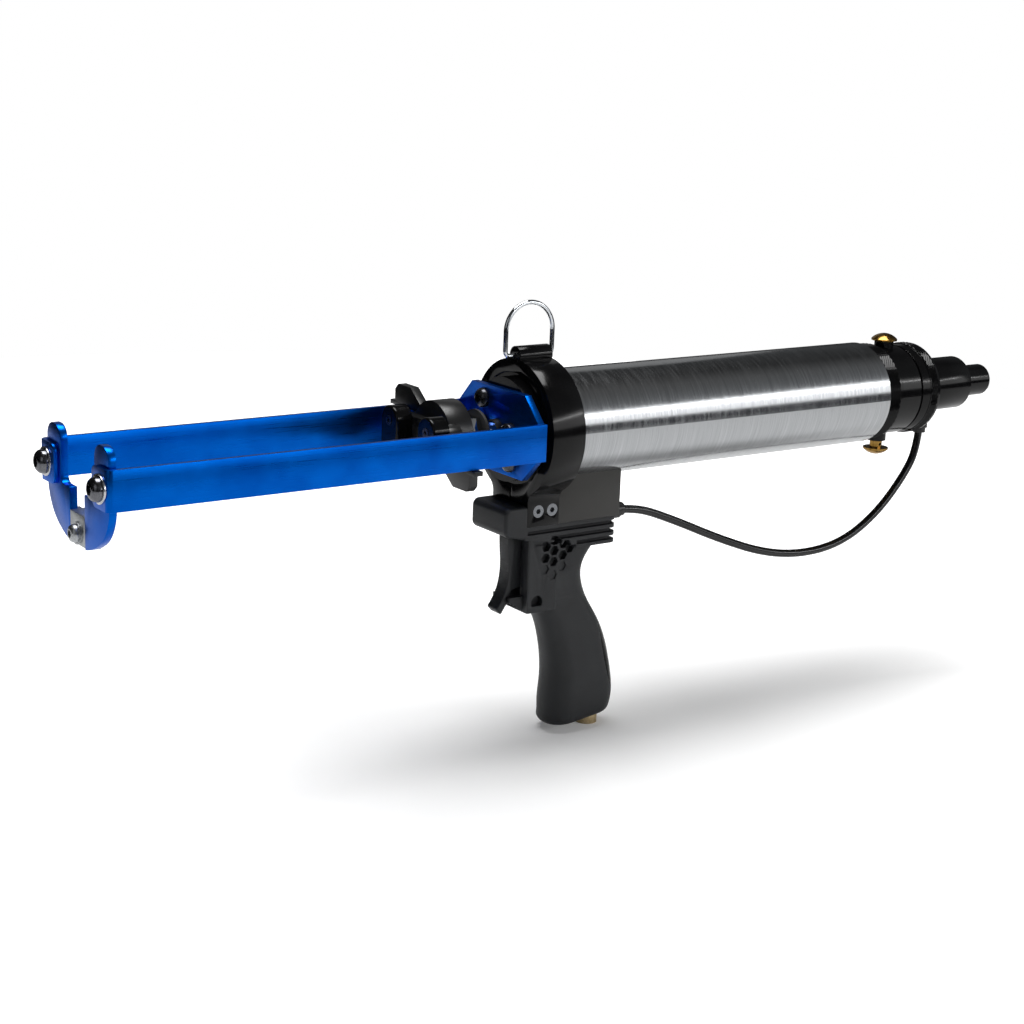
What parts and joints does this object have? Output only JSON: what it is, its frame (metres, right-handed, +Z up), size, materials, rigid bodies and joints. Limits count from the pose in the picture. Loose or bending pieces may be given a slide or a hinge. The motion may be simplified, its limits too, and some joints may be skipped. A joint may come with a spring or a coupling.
{
  "type": "pneumatic caulking gun",
  "caption": "Air-powered caulking gun for two side-by-side cartridges, with an open cartridge bay, an air cylinder, a pistol grip with trigger and a hang ring.",
  "frame": {"origin": "on the drive axis, at the front face of the thrust plate where the cartridge bay starts", "axes": "+X forwards along the drive axis to the front plate, +Y to the left of the gun, +Z up, away from the grip"},
  "size_m": [0.78, 0.1046, 0.3091],
  "materials": {
    "blue_anodised": "blue anodised aluminium, satin",
    "dark_screw": "black oxide steel",
    "bright_washer": "bright zinc plated steel",
    "zinc_grey": "zinc plated steel",
    "barrel_aluminium": "drawn tube, brushed round the axis",
    "gloss_black": "black anodised aluminium, semi-gloss",
    "matte_black": "moulded nylon, fine grain",
    "plain_aluminium": "machined aluminium",
    "seal_rubber": "nitrile rubber",
    "bronze": "machined bronze",
    "gland_black": "moulded gland, matt",
    "rod_chrome": "polished chrome",
    "plain_steel": "plain steel",
    "spool_brass": "turned brass, polished",
    "inlet_brass": "turned brass, dull",
    "fitting_black": "push-in fitting, moulded",
    "hose_black": "polyurethane air hose, gloss"
  },
  "bodies": {
    "gun_body": {"air_hose": "hose_black", "air_inlet": "inlet_brass", "barrel_tube": "barrel_aluminium", "clamp_ring": "gloss_black", "clamp_screws": "dark_screw", "end_cap": "gloss_black", "front_cap": "gloss_black", "front_cap_seal": "seal_rubber", "front_hose_fitting": "fitting_black", "front_plate": "blue_anodised", "front_release_collar": "fitting_black", "front_screw_washers": "bright_washer", "front_screws": "dark_screw", "grip_back_panel": "matte_black", "handle": "matte_black", "handle_screws": "dark_screw", "left_rail": "blue_anodised", "locator_nut": "bright_washer", "locator_screw": "zinc_grey", "lock_ring": "gloss_black", "nozzle_locator": "zinc_grey", "rear_cap_seal": "seal_rubber", "rear_hose_fitting": "fitting_black", "rear_release_collar": "fitting_black", "regulator_body": "gloss_black", "regulator_disc": "plain_aluminium", "regulator_spring": "plain_steel", "right_rail": "blue_anodised", "rod_bush": "bronze", "rod_gland": "gland_black", "rod_seal": "seal_rubber", "spool_block": "gloss_black", "thrust_plate": "blue_anodised", "thrust_plate_corner_screws": "dark_screw", "thrust_plate_side_screws": "dark_screw", "trigger_pin": "plain_steel", "trigger_valve_body": "bronze", "trigger_valve_plug": "bronze", "valve_block": "matte_black", "valve_spring": "plain_steel"},
    "drive": {"piston": "plain_aluminium", "piston_seals": "seal_rubber", "piston_nut": "plain_steel", "piston_rod": "rod_chrome", "rod_nut": "rod_chrome", "rod_bumper": "seal_rubber", "plunger_carrier": "matte_black", "rod_screw": "dark_screw", "left_plunger_pad": "gloss_black", "right_plunger_pad": "gloss_black", "plunger_pad_screws": "dark_screw"},
    "trigger_lever": {"trigger": "matte_black"},
    "valve": {"valve_stem": "bronze"},
    "hanger": {"hang_ring": "rod_chrome"},
    "spool": {"shuttle_spool": "spool_brass", "spool_seals": "seal_rubber", "spool_button": "spool_brass"},
    "knob": {"regulator_knob": "gloss_black", "regulator_screw": "dark_screw"},
    "follower": {"spring_follower": "plain_aluminium"}
  },
  "joints": [
    {"name": "drive_slide", "type": "slide", "parent": "gun_body", "child": "drive", "axis": [1, 0, 0], "range_m": [0, 0.205]},
    {"name": "trigger_hinge", "type": "hinge", "parent": "gun_body", "child": "trigger_lever", "pos_m": [-0.017, 0, -0.0706], "axis": [0, 1, 0], "range_deg": [0, 8], "stiffness_Nm_per_rad": 2, "springref_deg": -17.19},
    {"name": "valve_slide", "type": "slide", "parent": "gun_body", "child": "valve", "axis": [-1, 0, 0], "range_m": [0, 0.0038], "deforming": ["valve_spring"]},
    {"name": "hang_ring_hinge", "type": "hinge", "parent": "gun_body", "child": "hanger", "pos_m": [-0.0239, 0, 0.0495], "axis": [1, 0, 0], "range_deg": [-100, 100]},
    {"name": "spool_slide", "type": "slide", "parent": "gun_body", "child": "spool", "axis": [0, 0, 1], "range_m": [0, 0.0058]},
    {"name": "regulator_knob_turn", "type": "hinge", "parent": "gun_body", "child": "knob", "pos_m": [-0.441, 0, 0], "axis": [1, 0, 0], "range_deg": [0, 720]},
    {"name": "follower_slide", "type": "slide", "parent": "gun_body", "child": "follower", "axis": [1, 0, 0], "range_m": [0, 0.0026], "deforming": ["regulator_spring"]}
  ],
  "couplings": [
    {"joint": "valve_slide", "follows": "trigger_hinge", "m_per_rad": 0.0265},
    {"joint": "follower_slide", "follows": "regulator_knob_turn", "m_per_rad": 0.00019894}
  ]
}
